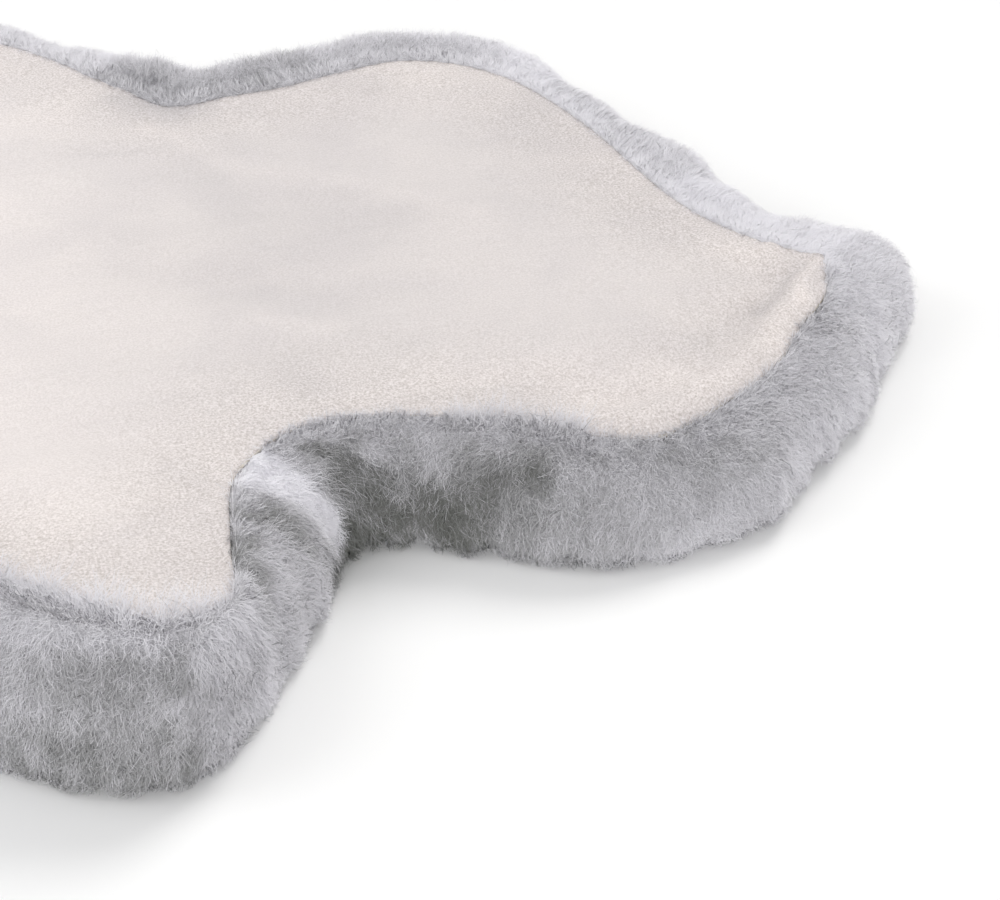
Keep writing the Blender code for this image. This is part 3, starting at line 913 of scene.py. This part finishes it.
def tones_at(points):
    """The wool's tone at each point: grey with soft clouds, and the named paler and darker stretches, many of
    them painted light and shade.
    """
    tone = WOOL_TONE + 0.05 * waves(points, 70 * MM, SEED + 11) + 0.04 * waves(points, 26 * MM, SEED + 12)
    place = (points - (*TAIL, 0.0)) / MM
    blurred = np.column_stack([waves(points, 19 * MM, SEED + seed) for seed in (13, 14, 15)])
    for _name, start, reach1, end, reach2, wanted, strength, softness in TONES:
        t, away = beside_stretch(place + blurred * (1.5 + 7 * min(softness, 1)), start, end)
        reach = reach1 + (reach2 - reach1) * t
        full, none = reach * (1 - 0.6 * softness), reach * (1.05 + 0.35 * softness)
        near = strength * (1 - smoothstep(away, full, none))
        tone = tone * (1 - near) + wanted * near
    return tone


def edge_shares(loop):
    """For each point of the hide's edge: how much wool covers it, and how many loose fibres stand there."""
    plan = (loop[:, :2] - TAIL) / MM
    cover = np.full(len(loop), LEAST_COVER)
    loose = np.full(len(loop), LEAST_LOOSE)
    for _name, x, y, reach, lies, stands in COVERS:
        near = 1 - smoothstep(np.linalg.norm(plan - (x, y), axis=1), reach * 0.5, reach)
        cover = np.maximum(cover, lies * near)
        loose = np.maximum(loose, stands * near)
    for _name, x, y, reach, stays in BARE:
        clear = stays + (1 - stays) * smoothstep(np.linalg.norm(plan - (x, y), axis=1), reach * 0.7, reach)
        cover, loose = cover * clear, loose * (0.1 + 0.9 * clear)
    return cover, loose


def below_top(line):
    """Bends the fibres' highest points down, so that none stands far above the plain wool."""
    over = np.maximum(line[..., 2] - CAD_BOX[1][2] - HIGHEST + HIGH_BEND, 0)
    line[..., 2] -= over - HIGH_BEND * np.tanh(over / HIGH_BEND)


def over_hide(line, loop):
    """Lifts the fibres' points that lie over the hide clear of its top."""
    flat = line.reshape(-1, 3)
    over = np.flatnonzero(inside_loop(flat, loop))
    nearest = edge_field(flat[over], loop)[1]
    flat[over, 2] = np.maximum(flat[over, 2], loop[nearest, 2] + CLEAR_OF_HIDE)
    return flat.reshape(line.shape)


def grow(sizes, roots, up, away, near, cover, strip, loop, rng):
    """Centre lines of the fibres, three points each, and each fibre's tone and width."""
    count = len(roots)
    uneven = smoothstep(waves(roots, 20 * MM, SEED + 24), -0.9, 0.5)
    inward = cover * near * uneven
    turned_in = rng.random(count) < inward
    flow = np.column_stack([away * np.where(turned_in, -1.0, 1.0)[:, None], np.full(count, -0.35)])
    flow = unit(flow - up * (flow * up).sum(1, keepdims=True))
    lean = 0.5 * waves(roots, 55 * MM, SEED + 21) + 0.4 * waves(roots, 15 * MM, SEED + 22)
    tone = tones_at(roots)
    sleek = smoothstep(tone, 0.85, 0.96)
    flow = turned(flow, up, lean + rng.normal(0, 0.7, count) * (1 + 0.5 * turned_in - 0.5 * sleek))
    clump = waves(roots, 13 * MM, SEED + 23)
    low = 1 - smoothstep(roots[:, 2], 4 * MM, 20 * MM)
    length = sizes.fibre_length * rng.uniform(0.55, 1.2, count) * (1 + 0.12 * clump) * (1 - 0.2 * low)
    length = length * (1 - 0.35 * turned_in)
    stray = rng.random(count) < STRAY_SHARE
    lift = RISE + 0.10 * clump + rng.normal(0, 0.07, count) + 0.22 * stray
    lift = lift + turned_in * rng.uniform(0.0, 0.3, count) + 1.2 * inward * (1 - inward)
    lift = lift * (1 - 0.4 * sleek)
    bend = np.cross(up, flow) * (rng.normal(0, 0.26, count) * length)[:, None]
    middle = roots + up * (0.78 * lift * length)[:, None] + flow * (0.46 * length)[:, None] + bend
    tip = roots + up * (lift * length)[:, None] + flow * (0.92 * length)[:, None]
    tip = tip + rng.normal(0, 0.08, (count, 3)) * length[:, None]
    line = np.stack([roots - up * ROOT_DEPTH, middle, tip], axis=1)
    plain = (1 - 0.75 * sleek) * (1 - 0.4 * smoothstep(tone, 0.4, 0.7))
    bright = 0.22 * (rng.random(count) < BRIGHT_SHARE)
    streak = waves(np.column_stack([strip * (1.0, 0.25), np.zeros(count)]), 9 * MM, SEED + 25)
    varied = 0.03 * clump + 0.09 * streak + bright + rng.normal(-0.03, 0.08, count)
    # Fibres by the hide's edge, and those turned in over it, take part of the edge's paler tone: painted
    # light.
    tone = tone + varied * plain + (EDGE_LIT_TONE - tone) * (0.35 * near * cover + 0.3 * turned_in)
    # Each tuft and lock takes a random tone, and the fibres at its border painted shade, as in the partings
    # between them.
    for size, pull, shade in ((sizes.tuft, 0.16, 0.03), (sizes.lock, 0.07, 0.03)):
        chosen = rng.choice(count, size=max(1, count // size), replace=False)
        group = nearest_of(roots, chosen)
        gap = np.linalg.norm(roots - roots[chosen][group], axis=1)
        spread = np.sqrt(np.bincount(group, gap**2) / np.maximum(np.bincount(group), 1))[group]
        side = np.clip(gap / np.maximum(spread, 1e-6), 0, 2)
        drawn = line[chosen][group][:, 2] - line[:, 2]
        line[:, 2] += drawn * pull
        line[:, 1] += drawn * pull * 0.4
        tone += (rng.normal(0, 0.025, len(chosen))[group] - shade * (side - 0.8)) * plain
    line[:, :, 2] = np.maximum(line[:, :, 2], 0.3 * MM)
    line[turned_in, 1:] = over_hide(line[turned_in, 1:], loop)
    below_top(line)
    return line, np.clip(tone, 0.02, 0.98), np.full(count, sizes.fibre_width)


def heights_on(mesh, points):
    """The height of the mesh's top at each point in plan."""
    tree = BVHTree.FromPolygons([tuple(p) for p in places(mesh)], [tuple(f.vertices) for f in mesh.polygons])
    above, down = CAD_BOX[1][2] + 0.1, Vector((0, 0, -1))
    found = [tree.ray_cast(Vector((x, y, above)), down)[0] for x, y in points[:, :2]]
    return np.array([place.z if place else 0.0 for place in found])


def grow_wisps(sizes, ground, loop, rng):
    """Loose fibres beside the hide's edge: short ones cover its cut, and longer ones curl over it."""
    cover, loose = edge_shares(loop)
    ahead = np.roll(loop, -1, axis=0) - loop
    step = np.linalg.norm(ahead, axis=1)
    count = sizes.wisps
    stands = rng.random(count) < STANDING_SHARE
    chance_low, chance_high = cover * step, loose * step
    low = rng.choice(len(loop), size=count, p=chance_low / chance_low.sum())
    high = rng.choice(len(loop), size=count, p=chance_high / chance_high.sum())
    pick = np.where(stands, high, low)
    thick = loose[pick]
    roots = loop[pick] + ahead[pick] * rng.random((count, 1))
    ahead = unit(ahead[pick] * (1.0, 1.0, 0.0))
    out = np.column_stack([ahead[:, 1], -ahead[:, 0], np.zeros(count)])
    aside = np.where(stands, rng.random(count) ** 1.4 * (3 + 8 * thick), rng.uniform(0.2, 3.5, count))
    roots = roots + out * aside[:, None] * MM
    roots[:, 2] = heights_on(ground, roots) - 0.4 * MM
    curly = smoothstep(waves(roots, 16 * MM, SEED + 32), -0.5, 0.6)
    long = rng.uniform(0.5, 1.2, count) * (0.7 + 0.5 * thick + 1.1 * thick * curly)
    length = sizes.fibre_length * np.where(stands, long, rng.uniform(0.4, 0.85, count))
    heading = rng.normal(0, 0.7, count) + 0.5 * waves(roots, 30 * MM, SEED + 31) + 0.4 * ~stands
    curl = rng.normal(0, 1.2, count)
    steep = np.where(stands, rng.uniform(0.4, 1.2, count), rng.uniform(0.2, 0.8, count))
    droop = np.where(stands, rng.uniform(0.0, 1.3, count), rng.uniform(0.6, 1.5, count))
    points = [roots]
    for part in (0.15, 0.5, 0.85):
        turn, rise = (heading + curl * part)[:, None], (steep - droop * part)[:, None]
        level = -out * np.cos(turn) + ahead * np.sin(turn)
        stride = level * np.cos(rise) + np.array([0.0, 0.0, 1.0]) * np.sin(rise)
        points.append(points[-1] + stride * length[:, None] / 3)
    line = np.stack(points, axis=1)
    # Wisps take a fifth of the edge's paler tone, painted light on the loose fluff; the rest is the tone of
    # the wool they grow from.
    tone = tones_at(roots) * 0.8 + EDGE_LIT_TONE * 0.2 + rng.normal(-0.08, 0.05, count)
    line[:, 1:] = over_hide(line[:, 1:], loop)
    below_top(line)
    width = sizes.fibre_width * (LOOSE_WIDTH + 0.3 * thick * stands)
    return line, np.clip(tone, 0.02, 0.98), width


def ribbon_mesh(name, line, tone, width, up, follow, shown, rng):
    """Flat fibres along their centre lines, facing up: two points at each step and one at the tip.

    Follow says how far their shading takes the wool's own direction, and shown
    how little of the painted shade at the root each fibre has (both 0 to 1).
    """
    count, steps = line.shape[:2]
    taper = np.linspace(1.0, 0.7, steps - 1)
    ahead = unit(np.diff(line, axis=1).reshape(-1, 3)).reshape(count, steps - 1, 3)
    facing = unit(up + rng.normal(0, 0.28, (count, 3)))
    side = unit(np.cross(facing, ahead[:, 0]))
    half = (width[:, None] * taper / 2)[..., None] * side[:, None, :]
    left, right = line[:, :-1] + half, line[:, :-1] - half
    per = 2 * (steps - 1) + 1
    co = np.empty((count, per, 3))
    co[:, 0:-1:2], co[:, 1:-1:2], co[:, -1] = left, right, line[:, -1]
    quads = [(2 * k, 2 * k + 1, 2 * k + 3, 2 * k + 2) for k in range(steps - 2)]
    last = (2 * steps - 4, 2 * steps - 3, 2 * steps - 2)
    corners = np.array([i for quad in quads for i in quad] + list(last))
    sizes = np.array([4] * len(quads) + [3])
    index = (np.arange(count)[:, None] * per + corners).ravel()
    starts = np.concatenate([[0], np.cumsum(sizes)[:-1]])
    first = (np.arange(count)[:, None] * len(corners) + starts).ravel()
    mesh = bpy.data.meshes.new(name)
    mesh.vertices.add(count * per)
    mesh.loops.add(len(index))
    mesh.polygons.add(len(first))
    mesh.vertices.foreach_set("co", co.astype(np.float32).ravel())
    mesh.loops.foreach_set("vertex_index", index.astype(np.int32))
    mesh.polygons.foreach_set("loop_start", first.astype(np.int32))
    mesh.update(calc_edges=True)
    height = np.array([k / (steps - 1) for k in range(steps - 1) for _ in (0, 1)] + [1.0])
    across = np.array([-1, 1] * (steps - 1) + [0]) * 0.003
    u = np.clip(tone[:, None] + across[corners], 0, 1)
    v = shown[:, None] + (1 - shown[:, None]) * height[corners]
    layer = mesh.uv_layers.new(name=FIBRE_MAP)
    layer.uv.foreach_set("vector", np.stack([u, v], axis=-1).astype(np.float32).ravel())
    mesh.shade_smooth()
    flat = unit(facing - ahead[:, 1] * (facing * ahead[:, 1]).sum(1, keepdims=True))
    face = np.repeat(unit(up * follow + flat * (1 - follow)), per, axis=0)
    mesh.normals_split_custom_set_from_vertices(face.astype(np.float32))
    return mesh


class RUG_OT_fibres(bpy.types.Operator):
    """Adds the wool's fibres, in pieces one after another round the rug"""

    bl_idname = "rug.fibres"
    bl_label = "Add Wool Fibres"

    def execute(self, context):
        sizes = context.scene.rug_wool
        rng = np.random.default_rng(SEED)
        ground = bpy.data.objects["wool_ground"].data
        loop = hide_edge()
        roots, up, away, near, turn, strip = scatter(ground, loop, sizes.fibres, rng)
        cover = edge_shares(loop)[0][turn]
        line, tone, width = grow(sizes, roots, up, away, near, cover, strip, loop, rng)
        facing = unit(up + np.array([0.0, 0.0, 1.0]) * (0.3 + 0.9 * near)[:, None])
        # Fibres by the hide's edge have less of the painted shade at their roots.
        shown = 0.55 * near * np.minimum(0.25 + cover, 1)
        order = np.argsort(turn, kind="stable")
        material = fibre_material(sizes)
        for number, part in enumerate(np.array_split(order, FIBRE_PIECES), start=1):
            name = f"wool_fibres_{number}"
            mesh = ribbon_mesh(name, line[part], tone[part], width[part], facing[part], 0.8, shown[part], rng)
            obj = object_from(name, mesh, material)
            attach(obj, "root")
        return {"FINISHED"}


class RUG_OT_wisps(bpy.types.Operator):
    """Adds the loose fibres over the hide's edge"""

    bl_idname = "rug.wisps"
    bl_label = "Add Edge Wisps"

    def execute(self, context):
        sizes = context.scene.rug_wool
        rng = np.random.default_rng(SEED + 1)
        loop = hide_edge()
        line, tone, width = grow_wisps(sizes, bpy.data.objects["wool_ground"].data, loop, rng)
        up = np.tile((0.0, 0.0, 1.0), (len(line), 1))
        # Wisps keep most of the painted shade at their roots.
        mesh = ribbon_mesh("edge_wisps", line, tone, width, up, 0.55, np.full(len(line), 0.15), rng)
        wisps = object_from("edge_wisps", mesh, bpy.data.materials["Wool fibres"])
        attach(wisps, "root")
        return {"FINISHED"}


def add_light(name, kind, place, target, strength, **settings):
    """A light at its place that looks at the target."""
    light = bpy.data.lights.new(name, kind)
    light.energy = strength
    for key, value in settings.items():
        setattr(light, key, value)
    obj = bpy.data.objects.new(name, light)
    obj.location = place
    obj.rotation_euler = (Vector(target) - Vector(place)).to_track_quat("-Z", "Y").to_euler()
    bpy.context.scene.collection.objects.link(obj)


def studio_world(sizes):
    """Even light all round, with a pale backdrop behind the floor."""
    world = bpy.data.worlds.new("Studio")
    world.use_nodes = True
    tree = world.node_tree
    even = tree.nodes["Background"]
    even.inputs["Color"].default_value = (1.0, 1.0, 1.0, 1.0)
    even.inputs["Strength"].default_value = sizes.surround
    backdrop = node(tree, "ShaderNodeBackground", Color=(1.0, 1.0, 1.0, 1.0), Strength=sizes.backdrop)
    seen = tree.nodes.new("ShaderNodeLightPath")
    either = tree.nodes.new("ShaderNodeMixShader")
    tree.links.new(seen.outputs["Is Camera Ray"], either.inputs[0])
    tree.links.new(even.outputs[0], either.inputs[1])
    tree.links.new(backdrop.outputs[0], either.inputs[2])
    tree.links.new(either.outputs[0], tree.nodes["World Output"].inputs["Surface"])
    return world


def make_camera():
    """The camera at the photograph's viewing angle."""
    data = bpy.data.cameras.new("Photo camera")
    data.lens = CAMERA_LENS
    data.sensor_width = CAMERA_SENSOR
    data.clip_start, data.clip_end = 0.05, 50.0
    obj = bpy.data.objects.new("Photo camera", data)
    obj.location = Vector((*TAIL, 0.0)) + Vector(CAMERA_FROM_TAIL)
    level = math.cos(CAMERA_TILT)
    look = Vector((math.sin(CAMERA_TURN) * level, math.cos(CAMERA_TURN) * level, -math.sin(CAMERA_TILT)))
    obj.rotation_euler = look.to_track_quat("-Z", "Y").to_euler()
    bpy.context.scene.collection.objects.link(obj)
    bpy.context.scene.camera = obj


class RUG_OT_stage(bpy.types.Operator):
    """Adds the floor, the lights and the camera"""

    bl_idname = "rug.stage"
    bl_label = "Add Stage"

    def execute(self, context):
        sizes = context.scene.rug_stage
        bm = bmesh.new()
        bmesh.ops.create_grid(bm, x_segments=8, y_segments=8, size=FLOOR_REACH)
        mesh = bpy.data.meshes.new("floor")
        bm.to_mesh(mesh)
        bm.free()
        floor = object_from("floor", mesh, floor_material(sizes))
        floor.location.z = -FLOOR_DROP
        context.scene.world = studio_world(sizes)
        high, low = math.radians(26.0), math.radians(37.0)
        warm = (1.0, 0.99, 0.97)
        add_light("Key", "SUN", (1.2, 1.5, 1.75), (0.0, 0.0, 0.0), sizes.key, angle=high, color=warm)
        add_light("Fill", "SUN", (-0.45, -2.5, 0.9), (0.0, 0.0, 0.0), sizes.fill, angle=low)
        add_light("Side", "AREA", (-0.7, 0.0, 0.9), (-0.05, 0.0, 0.0), sizes.side, shape="DISK", size=0.8)
        context.scene.view_settings.view_transform = "Standard"
        make_camera()
        return {"FINISHED"}


class RUG_PT_panel(bpy.types.Panel):
    """Sizes, colours and the pieces of the rug"""

    bl_idname = "RUG_PT_panel"
    bl_label = "Sheepskin Rug"
    bl_space_type = "VIEW_3D"
    bl_region_type = "UI"
    bl_category = "Sheepskin"

    def draw(self, context):
        for group in ("rug_hide", "rug_wool", "rug_stage"):
            values = getattr(context.scene, group)
            box = self.layout.box()
            for name in values.bl_rna.properties.keys():
                if name not in ("rna_type", "name"):
                    box.prop(values, name)
        for operator in OPERATORS:
            self.layout.operator(operator.bl_idname)


OPERATORS = (RUG_OT_hide, RUG_OT_ground, RUG_OT_fibres, RUG_OT_wisps, RUG_OT_stage)
GROUPS = (RUG_PG_hide, RUG_PG_wool, RUG_PG_stage)
CLASSES = (*GROUPS, *OPERATORS, RUG_PT_panel)


def register():
    """Adds the classes and the scene's settings."""
    for cls in CLASSES:
        bpy.utils.register_class(cls)
    bpy.types.Scene.rug_hide = PointerProperty(type=RUG_PG_hide)
    bpy.types.Scene.rug_wool = PointerProperty(type=RUG_PG_wool)
    bpy.types.Scene.rug_stage = PointerProperty(type=RUG_PG_stage)


def unregister():
    """Takes them away again."""
    del bpy.types.Scene.rug_stage
    del bpy.types.Scene.rug_wool
    del bpy.types.Scene.rug_hide
    for cls in reversed(CLASSES):
        bpy.utils.unregister_class(cls)


def main():
    """Builds the rug and its stage."""
    register()
    bpy.ops.rug.hide()
    bpy.ops.rug.ground()
    bpy.ops.rug.fibres()
    bpy.ops.rug.wisps()
    bpy.ops.rug.stage()


if __name__ == "__main__":
    main()
